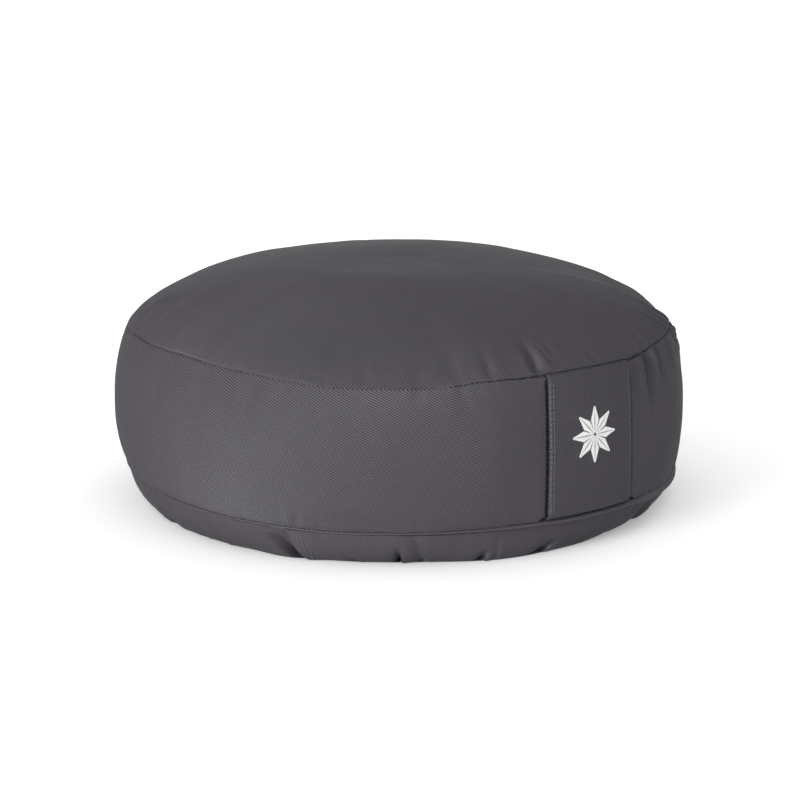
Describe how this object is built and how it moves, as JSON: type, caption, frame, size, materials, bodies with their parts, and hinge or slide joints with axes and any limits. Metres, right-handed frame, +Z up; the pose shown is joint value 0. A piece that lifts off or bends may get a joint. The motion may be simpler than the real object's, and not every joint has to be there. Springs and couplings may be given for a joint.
{
  "type": "round meditation cushion",
  "caption": "Low round cushion, filled firm: a domed top, a bulging side band, a gathered base with a narrow welt, and a flat carry strap sewn into both seams.",
  "frame": {"origin": "centre of the flat underside, where the cushion rests", "axes": "+Z up through the middle of the crown; the carry strap is at the front, on -Y; +X to the right of someone who faces the strap"},
  "size_m": [0.3289, 0.3278, 0.1358],
  "materials": {
    "cover_twill": "dark warm-grey cotton twill, matt, with a fine diagonal wale",
    "strap_twill": "the same twill doubled, with hemmed and stitched sides",
    "welt_twill": "the same twill, folded and pressed"
  },
  "bodies": {
    "root": {"cushion": "cover_twill", "handle": "strap_twill", "base_welt": "welt_twill"}
  },
  "joints": []
}
